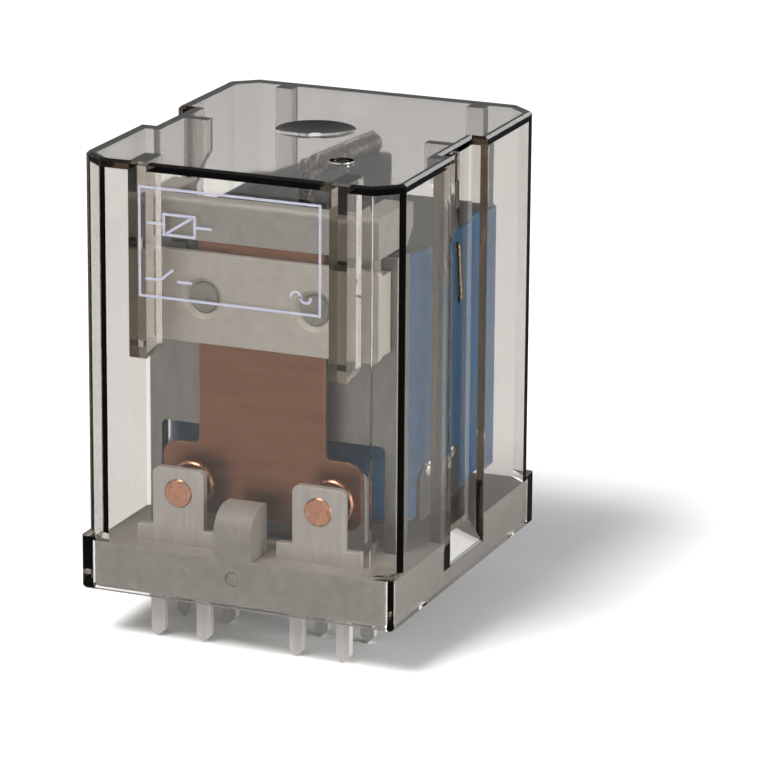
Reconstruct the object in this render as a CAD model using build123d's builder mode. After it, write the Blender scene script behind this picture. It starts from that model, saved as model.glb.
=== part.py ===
from build123d import *
from math import cos, radians, sin
import os

os.makedirs("parts", exist_ok=True)

# All sizes are in millimetres. X runs across the front, Y from front to back and Z up.
# z = 0 is the plane that the base and the cover stand on, with the pins below it.

# ---- cover: a clear box, open below, over a square skirt ----
cover_width = 32.4
cover_depth = 36.6
cover_height = 42.6
side_wall = 0.9
top_wall = 1.0
skirt_height = 5.3
corner_cut_x = 2.4  # bevel on the four upright corners
corner_cut_y = 2.1
skirt_corner_radius = 0.5
edge_radius = 0.5
top_bevel = 0.25
foot_bevel = 0.25
recess_length = 8.4  # shallow recess in each side, open at the top
recess_depth = 1.5
ramp_low = 2.2  # the recess floor slopes from here on the outside
ramp_high = 4.3  # to here on the recess wall
guide_spacing = 20.4  # guide ribs inside the front and back walls
guide_width = 1.8
front_guide_depth = 3.4
rear_guide_depth = 1.4
guide_foot = 23.5
guide_slope = 0.5
gusset_length = 2.5  # rib inside each recess wall, from the top down to a point
gusset_width = 1.2
gusset_y = 0.9
gusset_shoulder = 38.4
gusset_foot = 33.9
gate_radius = 3.9  # shallow round dish in the top
gate_depth = 0.5
gate_y = 0.5
vent_radius = 1.15  # small blind vent mark in the top
vent_depth = 0.6
vent_x = 7.2
vent_y = -10.0
nick_width = 1.2  # two notches in the lower edge of each side
nick_height = 0.5
nick_ys = (-10.7, 12.4)

# ---- clearances ----
fit = 0.05  # each side of a part that sits in a pocket
rivet_fit = 0.02  # each side of a rivet in its hole

# ---- base ----
base_top = 4.7
base_corner_radius = 0.5
base_foot_radius = 0.7
post_width = 3.85  # upright post on the front edge
post_x = -0.6
post_back = -13.55
post_top = 9.5
post_round = 2.6
pad_height = 0.6  # two pads that carry the yoke
pad_width = 9.0
pad_length = 4.0
pad_ys = (-4.5, 10.5)
mark_radius = 0.75  # moulding mark in the front face
mark_depth = 0.15

# ---- terminals ----
terminal_x = 7.25
stock = 0.8  # strip that the terminals are cut from
blade_width = 5.3
blade_top = 12.2
blade_round = 0.7
foot_width = 8.6
foot_height = 1.6
front_blade_y = -15.0  # front face
rear_blade_y = -9.9  # front face
rear_pin_y = -9.0  # front face of the rear pins, set back by a joggle
rear_foot_width = 6.4
pin_offset = 2.4
pin_width = 1.4
pin_length = 5.0
pin_point = 0.7
coil_pin_y = 15.1  # front face
coil_post_width = 1.4
coil_post_top = 11.5
coil_foot_width = 3.0
wire_eye_z = 10.6

# ---- contacts ----
contact_z = 9.8
contact_radius = 2.3
contact_bevel = 0.15
fixed_shank_radius = 1.4
moving_shank_radius = 1.2
front_head = 0.4
moving_head = 0.4
contact_gap_at_rest = 0.02  # between the closed rear contacts
rivet_end = 0.12  # the front rivets stand this far proud

# ---- yoke, core and armature ----
yoke_thickness = 1.5
yoke_front = -9.6
yoke_top = 33.78
yoke_half_width = 12.7
yoke_skirt = 15.2  # lower edge beside the middle tongue
tongue_half_width = 3.0
leg_width = 1.2
leg_depth_in_base = 1.9
arm_half_width = 6.0
arm_length = 23.6
core_y = 3.4
core_radius = 4.0
core_neck_radius = 2.5
pole_radius = 6.0
pole_height = 1.0
pole_top = 33.7
hinge_y = -9.7
hinge_z = 33.8
open_angle = 3.7  # how far the armature stands off the pole at rest, degrees
armature_thickness = 1.5
armature_half_width = 9.5
armature_full_length = 6.0  # from the hinge to where it starts to narrow
armature_length = 23.6
tail_half_width = 2.4
tail_round = 0.8
armature_front = -11.25
drop_half_width = 8.0
drop_foot = 25.0
anchor_hole_radius = 1.6

# ---- contact bridge and its carrier ----
bridge_thickness = 0.5
bridge_half_width = 6.5
bridge_top = 34.1
bridge_foot = 7.2
tab_half_width = 10.3
tab_top = 13.9
tab_round = 1.5
tab_crook = 0.8
carrier_half_width = 12.0
carrier_foot = 24.2
carrier_top = 38.2
carrier_front = -12.65
hood_foot = 34.2
hood_round = 0.6
cheek_back = -5.6
cheek_slope = 1.6
bar_half_width = 12.0
bar_top = 33.0
bar_round = 0.5
bar_return = 0.95  # thickness of the bar's turned-back ends
peg_x = 5.7
peg_z = 28.6
peg_radius = 1.5
peg_sink = 0.3
peg_countersink = 2.1
peg_countersink_depth = 0.5

# ---- coil ----
coil_half_x = 12.9
coil_half_y = 11.4
coil_corner = 4.2  # front corners
coil_rear_corner = 1.4
tape_thickness = 0.35
tape_foot = 7.2
tape_top = 33.3
flange_top = 33.4
top_flange = 1.0
bottom_flange = 1.5
winding_gap = 0.4
hub_radius = 5.3
lead_radius = 0.15
lead_hole = 0.36
block_depth = 3.4  # moulded block on the bobbin's foot, one each side
block_front = -5.5
block_back = 4.5
block_top = 12.0
block_round = 1.4

# ---- return spring and its post ----
spring_x = 1.2
anchor_y = -4.2
anchor_radius = 0.7
anchor_waist_radius = 0.5
anchor_waist_low = 38.6
anchor_waist_high = 39.4
anchor_top = 40.0
spring_radius = 0.95  # to the middle of the wire
spring_wire_radius = 0.15
spring_front_y = -2.3
spring_front_z = 38.95
spring_rear_y = 11.9
spring_rear_z = 38.2
spring_turns = 30
hook_y = 13.0

# ---- sizes that follow ----
inner_x = cover_width / 2 - side_wall
inner_y = cover_depth / 2 - side_wall
inner_top = cover_height - top_wall
bump_length = recess_length + 2 * side_wall
dish_radius = (gate_radius**2 + gate_depth**2) / (2 * gate_depth)
ramp_run = ramp_high - ramp_low
ramp_length = (recess_depth**2 + ramp_run**2) ** 0.5
inner_ramp_low = ramp_low - side_wall * (ramp_length - ramp_run) / recess_depth
inner_ramp_high = inner_ramp_low + ramp_run
yoke_back = yoke_front + yoke_thickness
arm_foot = base_top + pad_height
arm_top = arm_foot + yoke_thickness
bridge_front = armature_front - bridge_thickness
flange_inset = tape_thickness + fit
winding_inset = flange_inset + winding_gap
winding_half_x = coil_half_x - winding_inset
winding_half_y = coil_half_y - winding_inset
winding_foot = arm_top + bottom_flange + fit
winding_top = flange_top - top_flange - fit
sides = (("left", -1), ("right", 1))

outline = [
    (cover_width / 2 - corner_cut_x, cover_depth / 2),
    (cover_width / 2, cover_depth / 2 - corner_cut_y),
    (cover_width / 2, -cover_depth / 2 + corner_cut_y),
    (cover_width / 2 - corner_cut_x, -cover_depth / 2),
    (-cover_width / 2 + corner_cut_x, -cover_depth / 2),
    (-cover_width / 2, -cover_depth / 2 + corner_cut_y),
    (-cover_width / 2, cover_depth / 2 - corner_cut_y),
    (-cover_width / 2 + corner_cut_x, cover_depth / 2),
]

# Hollow of the cover: square in the skirt, bevelled above it, and stepped in at each recess.
with BuildPart() as cover_hollow:
    with BuildSketch(Plane.XY):
        Rectangle(2 * inner_x, 2 * inner_y)
        fillet(vertices(), radius=base_corner_radius)
    extrude(amount=base_top + fit)
    with BuildSketch(Plane.XY):
        Polygon(*outline, align=None)
        offset(amount=-side_wall, kind=Kind.INTERSECTION, mode=Mode.REPLACE)
    extrude(amount=inner_top)
    with BuildSketch(Plane.XZ):
        for side in (-1, 1):
            Polygon(
                (side * (inner_x + 1), inner_ramp_low),
                (side * inner_x, inner_ramp_low),
                (side * (inner_x - recess_depth), inner_ramp_high),
                (side * (inner_x - recess_depth), inner_top + 1),
                (side * (inner_x + 1), inner_top + 1),
                align=None,
            )
    extrude(amount=bump_length / 2, both=True, mode=Mode.SUBTRACT)

# Cover: skirt and bevelled box with a recess in each side, hollowed from below.
with BuildPart() as cover:
    with BuildSketch(Plane.XY):
        Rectangle(cover_width, cover_depth)
        fillet(vertices(), radius=skirt_corner_radius)
    extrude(amount=skirt_height)
    with BuildSketch(Plane.XY.offset(skirt_height)):
        Polygon(*outline, align=None)
        fillet(vertices(), radius=edge_radius)
    extrude(amount=cover_height - skirt_height)
    for side in (-1, 1):
        with BuildSketch(Plane.XZ):
            Polygon(
                (side * (cover_width / 2 + 1), ramp_low),
                (side * cover_width / 2, ramp_low),
                (side * (cover_width / 2 - recess_depth), ramp_high),
                (side * (cover_width / 2 - recess_depth), cover_height + 1),
                (side * (cover_width / 2 + 1), cover_height + 1),
                align=None,
            )
        extrude(amount=recess_length / 2, both=True, mode=Mode.SUBTRACT)
    chamfer(faces().sort_by(Axis.Z)[-1].edges(), length=top_bevel)
    chamfer(faces().sort_by(Axis.Z)[0].edges(), length=foot_bevel)
    add(cover_hollow.part, mode=Mode.SUBTRACT)
    for side in (-1, 1):
        with BuildSketch(Plane.YZ.offset(side * guide_spacing / 2)):
            Polygon(
                (-inner_y - fit, guide_foot),
                (-inner_y + front_guide_depth, guide_foot + guide_slope),
                (-inner_y + front_guide_depth, inner_top + fit),
                (-inner_y - fit, inner_top + fit),
                align=None,
            )
            Polygon(
                (inner_y + fit, guide_foot),
                (inner_y - rear_guide_depth, guide_foot + guide_slope),
                (inner_y - rear_guide_depth, inner_top + fit),
                (inner_y + fit, inner_top + fit),
                align=None,
            )
        extrude(amount=guide_width / 2, both=True)
        gusset_root = inner_x - recess_depth
        with BuildSketch(Plane.XZ.offset(-gusset_y)):
            Polygon(
                (side * (gusset_root + fit), gusset_foot),
                (side * (gusset_root - gusset_length), gusset_shoulder),
                (side * (gusset_root - gusset_length), inner_top + fit),
                (side * (gusset_root + fit), inner_top + fit),
                align=None,
            )
        extrude(amount=gusset_width / 2, both=True)
    with Locations((0, gate_y, cover_height + dish_radius - gate_depth)):
        Sphere(dish_radius, mode=Mode.SUBTRACT)
    with BuildSketch(Plane.XY.offset(cover_height)):
        with Locations((vent_x, vent_y)):
            Circle(vent_radius)
    extrude(amount=-vent_depth, mode=Mode.SUBTRACT)
    for side in (-1, 1):
        for nick_y in nick_ys:
            with Locations((side * (cover_width / 2 - side_wall / 2), nick_y, nick_height / 2)):
                Box(side_wall + 2 * fit, nick_width, nick_height, mode=Mode.SUBTRACT)
cover.part.label = "cover"
export_step(cover.part, "parts/cover.step")

# Base: moulded block that fills the skirt, stepped in at each recess and slotted for the pins.
with BuildPart() as base:
    with BuildSketch(Plane.XY):
        Rectangle(2 * (inner_x - fit), 2 * (inner_y - fit))
        fillet(vertices(), radius=base_corner_radius)
    extrude(amount=base_top)
    fillet(faces().sort_by(Axis.Z)[0].edges(), radius=base_foot_radius)
    with BuildSketch(Plane.XZ):
        for side in (-1, 1):
            Polygon(
                (side * (inner_x + 1), inner_ramp_low - 2 * fit),
                (side * inner_x, inner_ramp_low - 2 * fit),
                (side * (inner_x - recess_depth - fit), inner_ramp_high - 2 * fit),
                (side * (inner_x - recess_depth - fit), base_top + 1),
                (side * (inner_x + 1), base_top + 1),
                align=None,
            )
    extrude(amount=bump_length / 2 + fit, both=True, mode=Mode.SUBTRACT)
    with BuildSketch(Plane.YZ.offset(post_x)):
        with BuildLine():
            Polyline(
                (-inner_y + fit + post_round, post_top),
                (post_back, post_top),
                (post_back, base_top - 1),
                (-inner_y + fit, base_top - 1),
                (-inner_y + fit, post_top - post_round),
            )
            RadiusArc(
                (-inner_y + fit, post_top - post_round),
                (-inner_y + fit + post_round, post_top),
                post_round,
            )
        make_face()
    extrude(amount=post_width / 2, both=True)
    for pad_y in pad_ys:
        with BuildSketch(Plane.XY.offset(base_top)):
            with Locations((0, pad_y)):
                Rectangle(pad_width, pad_length)
        extrude(amount=pad_height)
    with BuildSketch(Plane.XZ.offset(inner_y - fit)):
        with Locations((post_x, base_top / 2 + 0.4)):
            Circle(mark_radius)
    extrude(amount=-mark_depth, mode=Mode.SUBTRACT)
    with BuildSketch(Plane.XY.offset(-1)):
        for side in (-1, 1):
            for shift in (-pin_offset, pin_offset):
                with Locations(
                    (side * terminal_x + shift, front_blade_y + stock / 2),
                    (side * terminal_x + shift, rear_pin_y + stock / 2),
                ):
                    Rectangle(pin_width + 2 * fit, stock + 2 * fit)
            with Locations((side * terminal_x, coil_pin_y + stock / 2)):
                Rectangle(pin_width + 2 * fit, stock + 2 * fit)
    extrude(amount=base_top + 2, mode=Mode.SUBTRACT)
    with BuildSketch(Plane.XY.offset(base_top - leg_depth_in_base - fit)):
        for side in (-1, 1):
            with Locations(
                (side * (yoke_half_width - leg_width / 2), yoke_front + yoke_thickness / 2)
            ):
                Rectangle(leg_width + 2 * fit, yoke_thickness + 2 * fit)
    extrude(amount=leg_depth_in_base + 1, mode=Mode.SUBTRACT)
base.part.label = "base"
export_step(base.part, "parts/base.step")

# Front terminals: flat blade with a wide foot on the base and two pointed pins.
for side_name, side in sides:
    with BuildPart() as front_terminal:
        with BuildSketch(Plane.XZ.offset(-front_blade_y)):
            with Locations((side * terminal_x, (base_top + blade_top) / 2)):
                Rectangle(blade_width, blade_top - base_top)
            fillet(vertices().group_by(Axis.Y)[-1], radius=blade_round)
            with Locations((side * terminal_x, base_top + foot_height / 2)):
                Rectangle(foot_width, foot_height)
            for shift in (-pin_offset, pin_offset):
                pin_x = side * terminal_x + shift
                Polygon(
                    (pin_x - pin_width / 2, base_top + foot_height / 2),
                    (pin_x + pin_width / 2, base_top + foot_height / 2),
                    (pin_x + pin_width / 2, -pin_length + pin_point),
                    (pin_x, -pin_length),
                    (pin_x - pin_width / 2, -pin_length + pin_point),
                    align=None,
                )
            with Locations((side * terminal_x, contact_z)):
                Circle(fixed_shank_radius + rivet_fit, mode=Mode.SUBTRACT)
        extrude(amount=-stock)
    front_terminal.part.label = f"front_terminal_{side_name}"
    export_step(front_terminal.part, f"parts/front_terminal_{side_name}.step")

# Rear terminals: the blade stands further forward than its pins, on a joggled foot.
for side_name, side in sides:
    with BuildPart() as rear_terminal:
        with BuildSketch(Plane.XZ.offset(-rear_blade_y)):
            with Locations((side * terminal_x, (base_top + blade_top) / 2)):
                Rectangle(blade_width, blade_top - base_top)
            fillet(vertices().group_by(Axis.Y)[-1], radius=blade_round)
            with Locations((side * terminal_x, contact_z)):
                Circle(fixed_shank_radius + rivet_fit, mode=Mode.SUBTRACT)
        extrude(amount=-stock)
        with BuildSketch(Plane.XY.offset(base_top)):
            with Locations((side * terminal_x, (rear_blade_y + rear_pin_y + stock) / 2)):
                Rectangle(rear_foot_width, rear_pin_y + stock - rear_blade_y)
        extrude(amount=stock)
        with BuildSketch(Plane.XZ.offset(-rear_pin_y)):
            for shift in (-pin_offset, pin_offset):
                pin_x = side * terminal_x + shift
                Polygon(
                    (pin_x - pin_width / 2, base_top + stock / 2),
                    (pin_x + pin_width / 2, base_top + stock / 2),
                    (pin_x + pin_width / 2, -pin_length + pin_point),
                    (pin_x, -pin_length),
                    (pin_x - pin_width / 2, -pin_length + pin_point),
                    align=None,
                )
        extrude(amount=-stock)
    rear_terminal.part.label = f"rear_terminal_{side_name}"
    export_step(rear_terminal.part, f"parts/rear_terminal_{side_name}.step")

# Coil terminals: one strip each, with a foot on the base, a pin below and a wire eye above.
for side_name, side in sides:
    with BuildPart() as coil_terminal:
        with BuildSketch(Plane.XZ.offset(-coil_pin_y)):
            with Locations((side * terminal_x, (base_top + coil_post_top) / 2)):
                Rectangle(coil_post_width, coil_post_top - base_top)
            with Locations((side * terminal_x, base_top + foot_height / 2)):
                Rectangle(coil_foot_width, foot_height)
            Polygon(
                (side * terminal_x - pin_width / 2, base_top + foot_height / 2),
                (side * terminal_x + pin_width / 2, base_top + foot_height / 2),
                (side * terminal_x + pin_width / 2, -pin_length + pin_point),
                (side * terminal_x, -pin_length),
                (side * terminal_x - pin_width / 2, -pin_length + pin_point),
                align=None,
            )
            with Locations((side * terminal_x, wire_eye_z)):
                Circle(lead_radius + fit, mode=Mode.SUBTRACT)
        extrude(amount=-stock)
    coil_terminal.part.label = f"coil_terminal_{side_name}"
    export_step(coil_terminal.part, f"parts/coil_terminal_{side_name}.step")

# Front contacts: copper rivets through the front blades, heads towards the bridge.
for side_name, side in sides:
    with BuildPart() as front_contact:
        with BuildSketch(Plane.XZ.offset(-front_blade_y + rivet_end)):
            with Locations((side * terminal_x, contact_z)):
                Circle(fixed_shank_radius)
        extrude(amount=-rivet_end - stock)
        chamfer(faces().sort_by(Axis.Y)[0].edges(), length=rivet_end * 0.9)
        with BuildSketch(Plane.XZ.offset(-front_blade_y - stock)):
            with Locations((side * terminal_x, contact_z)):
                Circle(contact_radius)
        extrude(amount=-front_head)
        chamfer(faces().sort_by(Axis.Y)[-1].edges(), length=contact_bevel)
    front_contact.part.label = f"front_contact_{side_name}"
    export_step(front_contact.part, f"parts/front_contact_{side_name}.step")

# Rear contacts: rivets through the rear blades, closed against the bridge at rest.
moving_rear_face = armature_front + moving_head
for side_name, side in sides:
    with BuildPart() as rear_contact:
        with BuildSketch(Plane.XZ.offset(-rear_blade_y)):
            with Locations((side * terminal_x, contact_z)):
                Circle(contact_radius)
        extrude(amount=rear_blade_y - moving_rear_face - contact_gap_at_rest)
        chamfer(faces().sort_by(Axis.Y)[0].edges(), length=contact_bevel)
        with BuildSketch(Plane.XZ.offset(-rear_blade_y)):
            with Locations((side * terminal_x, contact_z)):
                Circle(fixed_shank_radius)
        extrude(amount=-stock - rivet_end)
        chamfer(faces().sort_by(Axis.Y)[-1].edges(), length=rivet_end * 0.9)
    rear_contact.part.label = f"rear_contact_{side_name}"
    export_step(rear_contact.part, f"parts/rear_contact_{side_name}.step")

# Yoke: upright plate with the hinge edge on top, a tongue bent back under the coil
# and two side legs that stand in the base.
with BuildPart() as yoke:
    with BuildSketch(Plane.XZ.offset(-yoke_front)):
        with Locations((0, (yoke_top + yoke_skirt) / 2)):
            Rectangle(2 * yoke_half_width, yoke_top - yoke_skirt)
        with Locations((0, (yoke_skirt + arm_foot) / 2)):
            Rectangle(2 * tongue_half_width, yoke_skirt - arm_foot)
        leg_foot = base_top - leg_depth_in_base
        for side in (-1, 1):
            with Locations((side * (yoke_half_width - leg_width / 2), (yoke_skirt + leg_foot) / 2)):
                Rectangle(leg_width, yoke_skirt - leg_foot)
        inner_corners = vertices().filter_by(
            lambda v: abs(v.Y - yoke_skirt) < 0.01 and abs(abs(v.X) - yoke_half_width) > 0.1
        )
        fillet(inner_corners, radius=0.6)
    extrude(amount=-yoke_thickness)
    with BuildSketch(Plane.XY.offset(arm_foot)):
        with Locations((0, yoke_front + yoke_thickness)):
            Rectangle(2 * tongue_half_width, 2 * yoke_thickness)
        with Locations((0, yoke_front + 3 + (arm_length - 3) / 2)):
            Rectangle(2 * arm_half_width, arm_length - 3)
    extrude(amount=yoke_thickness)
    with BuildSketch(Plane.XY.offset(arm_foot)):
        with Locations((0, core_y)):
            Circle(core_neck_radius + rivet_fit)
    extrude(amount=yoke_thickness, mode=Mode.SUBTRACT)
yoke.part.label = "yoke"
export_step(yoke.part, "parts/yoke.step")

# Core: soft-iron stem with a wide pole face, its neck staked in the yoke.
with BuildPart() as core:
    with BuildSketch(Plane.XY.offset(arm_foot)):
        with Locations((0, core_y)):
            Circle(core_neck_radius)
    extrude(amount=yoke_thickness)
    with BuildSketch(Plane.XY.offset(arm_top)):
        with Locations((0, core_y)):
            Circle(core_radius)
    extrude(amount=pole_top - pole_height - arm_top)
    with BuildSketch(Plane.XY.offset(pole_top - pole_height)):
        with Locations((0, core_y)):
            Circle(pole_radius)
    extrude(amount=pole_height)
core.part.label = "core"
export_step(core.part, "parts/core.step")

# Outline of the taped coil, which the flanges, the winding and the tape follow.
with BuildSketch(Plane.XY) as coil_outline:
    with Locations((0, core_y)):
        Rectangle(2 * coil_half_x, 2 * coil_half_y)
    fillet(vertices().group_by(Axis.Y)[0], radius=coil_corner)
    fillet(vertices().group_by(Axis.Y)[-1], radius=coil_rear_corner)

# Blocks of the bobbin's foot, and the slightly larger space that they take in the coil.
block_middle = coil_half_x - block_depth / 2
with BuildPart() as foot_blocks:
    for side in (-1, 1):
        with BuildSketch(Plane.YZ.offset(side * block_middle)):
            with Locations(((block_front + block_back) / 2, (arm_top + block_top) / 2)):
                Rectangle(block_back - block_front, block_top - arm_top)
            fillet(vertices().group_by(Axis.Y)[-1], radius=block_round)
        extrude(amount=block_depth / 2, both=True)
with BuildPart() as block_space:
    for side in (-1, 1):
        with BuildSketch(Plane.YZ.offset(side * block_middle)):
            with Locations(((block_front + block_back) / 2, (arm_top + block_top) / 2)):
                Rectangle(block_back - block_front + 2 * fit, block_top - arm_top + 2 * fit)
            fillet(vertices().group_by(Axis.Y)[-1], radius=block_round + fit)
        extrude(amount=block_depth / 2 + fit, both=True)

# Bobbin: hub and two flanges round the core, with a block on each side of the lower flange.
with BuildPart() as bobbin:
    with BuildSketch(Plane.XY.offset(arm_top)):
        add(coil_outline.sketch)
        offset(amount=-flange_inset, mode=Mode.REPLACE)
    extrude(amount=bottom_flange)
    with BuildSketch(Plane.XY.offset(flange_top - top_flange)):
        add(coil_outline.sketch)
        offset(amount=-flange_inset, mode=Mode.REPLACE)
    extrude(amount=top_flange)
    with BuildSketch(Plane.XY.offset(arm_top)):
        with Locations((0, core_y)):
            Circle(hub_radius)
    extrude(amount=flange_top - arm_top)
    with BuildSketch(Plane.XY.offset(arm_top)):
        with Locations((0, core_y)):
            Circle(core_radius + fit)
    extrude(amount=flange_top - arm_top, mode=Mode.SUBTRACT)
    with BuildSketch(Plane.XY.offset(pole_top - pole_height - fit)):
        with Locations((0, core_y)):
            Circle(pole_radius + fit)
    extrude(amount=2, mode=Mode.SUBTRACT)
    with BuildSketch(Plane.XY.offset(flange_top - top_flange)):
        with Locations((spring_x, anchor_y)):
            Circle(anchor_radius + rivet_fit)
    extrude(amount=top_flange, mode=Mode.SUBTRACT)
    add(foot_blocks.part)
bobbin.part.label = "bobbin"
export_step(bobbin.part, "parts/bobbin.step")

# Winding: copper wire, as one block between the flanges.
with BuildPart() as coil_winding:
    with BuildSketch(Plane.XY.offset(winding_foot)):
        add(coil_outline.sketch)
        offset(amount=-winding_inset, mode=Mode.REPLACE)
        with Locations((0, core_y)):
            Circle(hub_radius + fit, mode=Mode.SUBTRACT)
    extrude(amount=winding_top - winding_foot)
    add(block_space.part, mode=Mode.SUBTRACT)
coil_winding.part.label = "coil_winding"
export_step(coil_winding.part, "parts/coil_winding.step")

# Coil wires: they run in the gap under the tape and come out through small holes. Two loop
# over the right side, and the leads go out through the back to the coil terminals.
gap_x = winding_half_x + winding_gap / 2 + 0.02
gap_y = core_y + winding_half_y + winding_gap / 2 + 0.02
face_x = coil_half_x + lead_radius + 0.02
eye_y = coil_pin_y + stock + 0.4
end_wire = [
    (gap_x, 3.4, 30.6),
    (gap_x, 3.4, 31.9),
    (face_x, 3.4, 31.9),
    (face_x, 4.1, 26.4),
    (gap_x, 4.1, 26.4),
    (gap_x, 4.1, 24.0),
]
start_wire = [
    (gap_x, -1.8, 30.8),
    (gap_x, -1.8, 32.0),
    (face_x, -1.8, 32.0),
    (face_x, 0.1, 28.2),
    (gap_x, 0.1, 28.2),
    (gap_x, 0.1, 26.0),
]
right_lead = [
    (terminal_x, gap_y, 20.0),
    (terminal_x, gap_y, wire_eye_z),
    (terminal_x, eye_y, wire_eye_z),
]
left_lead = [
    (-terminal_x, gap_y, 20.0),
    (-terminal_x, gap_y, wire_eye_z),
    (-terminal_x, eye_y, wire_eye_z),
]
wires = (
    ("coil_lead_right", right_lead),
    ("coil_lead_left", left_lead),
    ("coil_start_wire", start_wire),
    ("coil_end_wire", end_wire),
)
for wire_name, points in wires:
    with BuildPart() as coil_wire:
        with BuildLine() as wire_path:
            FilletPolyline(*points, radius=lead_radius * 1.2)
        with BuildSketch(Plane(origin=wire_path.line @ 0, z_dir=wire_path.line % 0)):
            Circle(lead_radius)
        sweep()
    coil_wire.part.label = wire_name
    export_step(coil_wire.part, f"parts/{wire_name}.step")

# Tape: a blue sleeve round the winding and flanges, with a hole where each wire passes.
wire_holes = ((3.4, 31.9), (4.1, 26.4), (-1.8, 32.0), (0.1, 28.2))
with BuildPart() as coil_tape:
    with BuildSketch(Plane.XY.offset(tape_foot)):
        add(coil_outline.sketch)
    extrude(amount=tape_top - tape_foot)
    with BuildSketch(Plane.XY.offset(tape_foot)):
        add(coil_outline.sketch)
        offset(amount=-tape_thickness, mode=Mode.REPLACE)
    extrude(amount=tape_top - tape_foot, mode=Mode.SUBTRACT)
    for hole_y, hole_z in wire_holes:
        with Locations((coil_half_x - tape_thickness / 2, hole_y, hole_z)):
            Box(2 * tape_thickness, 2 * lead_hole, 2 * lead_hole, mode=Mode.SUBTRACT)
    for side in (-1, 1):
        tape_back = core_y + coil_half_y - tape_thickness / 2
        with Locations((side * terminal_x, tape_back, wire_eye_z)):
            Box(2 * lead_hole, 2 * tape_thickness, 2 * lead_hole, mode=Mode.SUBTRACT)
    add(block_space.part, mode=Mode.SUBTRACT)
coil_tape.part.label = "coil_tape"
export_step(coil_tape.part, "parts/coil_tape.step")

# Spring post: a pin in the top flange with a waist for the spring's front loop.
with BuildPart() as spring_anchor:
    with BuildSketch(Plane.XY.offset(flange_top - top_flange)):
        with Locations((spring_x, anchor_y)):
            Circle(anchor_radius)
    extrude(amount=anchor_waist_low - flange_top + top_flange)
    with BuildSketch(Plane.XY.offset(anchor_waist_low)):
        with Locations((spring_x, anchor_y)):
            Circle(anchor_waist_radius)
    extrude(amount=anchor_waist_high - anchor_waist_low)
    with BuildSketch(Plane.XY.offset(anchor_waist_high)):
        with Locations((spring_x, anchor_y)):
            Circle(anchor_radius)
    extrude(amount=anchor_top - anchor_waist_high)
    chamfer(faces().sort_by(Axis.Z)[-1].edges(), length=0.15)
spring_anchor.part.label = "spring_anchor"
export_step(spring_anchor.part, "parts/spring_anchor.step")

# Armature: an angle that rocks on the yoke's top edge. Its long leg stands off the pole
# at rest and its short leg hangs in front of the yoke.
tilt = radians(open_angle)
long_leg = Plane(origin=(0, hinge_y, hinge_z), x_dir=(1, 0, 0), z_dir=(0, -sin(tilt), cos(tilt)))
front_run = (hinge_y - armature_front - armature_thickness * sin(tilt)) / cos(tilt)
anchor_run = (anchor_y - hinge_y) / cos(tilt)
hook_run = (hook_y - hinge_y) / cos(tilt)
with BuildPart() as armature:
    with BuildSketch(long_leg):
        Polygon(
            (-armature_half_width, -front_run),
            (armature_half_width, -front_run),
            (armature_half_width, armature_full_length),
            (tail_half_width, armature_length),
            (-tail_half_width, armature_length),
            (-armature_half_width, armature_full_length),
            align=None,
        )
        fillet(vertices().group_by(Axis.Y)[-1], radius=tail_round)
        with Locations((spring_x, anchor_run)):
            Circle(anchor_hole_radius, mode=Mode.SUBTRACT)
        with Locations((spring_x, hook_run)):
            Circle(0.5, mode=Mode.SUBTRACT)
    extrude(amount=armature_thickness)
    with BuildSketch(Plane.XZ.offset(-armature_front)):
        with Locations((0, (drop_foot + hinge_z + 1.0) / 2)):
            Rectangle(2 * drop_half_width, hinge_z + 1.0 - drop_foot)
        with Locations((-peg_x, peg_z), (peg_x, peg_z)):
            Circle(peg_radius + rivet_fit, mode=Mode.SUBTRACT)
    extrude(amount=-armature_thickness)
armature.part.label = "armature"
export_step(armature.part, "parts/armature.step")

# Carrier: moulded frame round the armature's short leg, with a hood over the bridge
# and a cheek on each side of the long leg.
carrier_back = armature_front + armature_thickness
cheek_inner = armature_half_width + fit
frame_half_width = bar_half_width - bar_return - fit
with BuildPart() as contact_carrier:
    with BuildSketch(Plane.XZ.offset(-armature_front)):
        with Locations((0, (carrier_foot + carrier_top) / 2)):
            Rectangle(2 * frame_half_width, carrier_top - carrier_foot)
        with Locations((0, (hood_foot + carrier_top) / 2)):
            Rectangle(2 * carrier_half_width, carrier_top - hood_foot)
        with Locations((0, (drop_foot - fit + carrier_top + 1) / 2)):
            Rectangle(
                2 * (drop_half_width + fit), carrier_top + 1 - drop_foot + fit, mode=Mode.SUBTRACT
            )
        with Locations((0, (hinge_z - 0.4 + carrier_top + 1) / 2)):
            Rectangle(2 * cheek_inner, carrier_top + 1.4 - hinge_z, mode=Mode.SUBTRACT)
    extrude(amount=-armature_thickness)
    with BuildSketch(Plane.XZ.offset(-carrier_front)):
        with Locations((0, (hood_foot + carrier_top) / 2)):
            Rectangle(2 * carrier_half_width, carrier_top - hood_foot)
    extrude(amount=carrier_front - armature_front)
    for side in (-1, 1):
        with BuildSketch(Plane.YZ.offset(side * (cheek_inner + carrier_half_width) / 2)):
            Polygon(
                (carrier_back - fit, hood_foot),
                (cheek_back - cheek_slope, hood_foot),
                (cheek_back, hood_foot + cheek_slope),
                (cheek_back, carrier_top),
                (carrier_back - fit, carrier_top),
                align=None,
            )
        extrude(amount=(carrier_half_width - cheek_inner) / 2, both=True)
    hood_edges = edges().filter_by(Axis.X).group_by(Axis.Z)[-1].sort_by(Axis.Y)[0]
    fillet(hood_edges, radius=hood_round)
contact_carrier.part.label = "contact_carrier"
export_step(contact_carrier.part, "parts/contact_carrier.step")

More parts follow.
